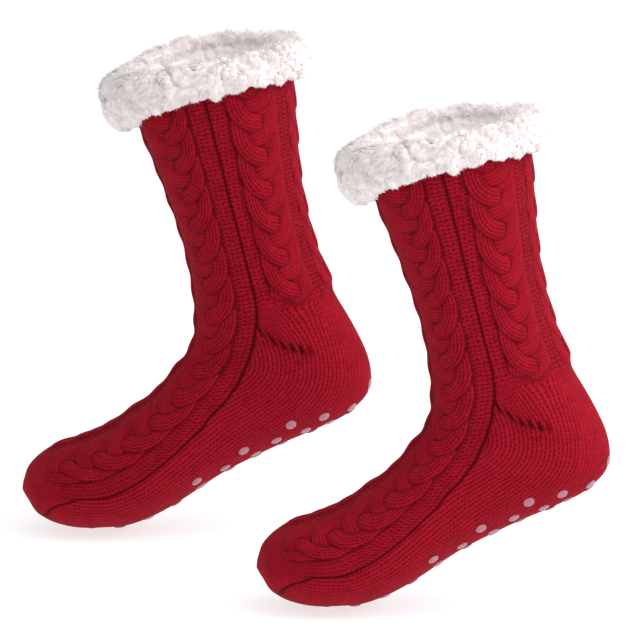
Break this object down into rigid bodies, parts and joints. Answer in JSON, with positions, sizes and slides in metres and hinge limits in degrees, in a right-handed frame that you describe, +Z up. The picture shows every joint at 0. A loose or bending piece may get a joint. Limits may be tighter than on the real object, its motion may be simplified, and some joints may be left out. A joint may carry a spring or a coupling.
{
  "type": "pair of slipper socks",
  "caption": "Pair of thick cable-knit slipper socks with a fleece lining turned down as a cuff, open and hollow, standing on their toes with the heels raised.",
  "frame": {"origin": "middle of the left sock's mouth, inside its turned-down cuff, where the wearer's leg holds it", "axes": "+X from toe to heel, +Y from the left sock towards the right one, +Z up; the socks stand on their toes as in the picture"},
  "size_m": [0.4063, 0.3847, 0.3487],
  "materials": {
    "knit": "matt knitted yarn, deep red",
    "fleece": "matt deep-pile fleece, warm white"
  },
  "bodies": {
    "root": {"left_knit_sock": "knit", "left_fleece_lining_and_cuff": "fleece", "right_knit_sock": "knit", "right_fleece_lining_and_cuff": "fleece"}
  },
  "joints": []
}
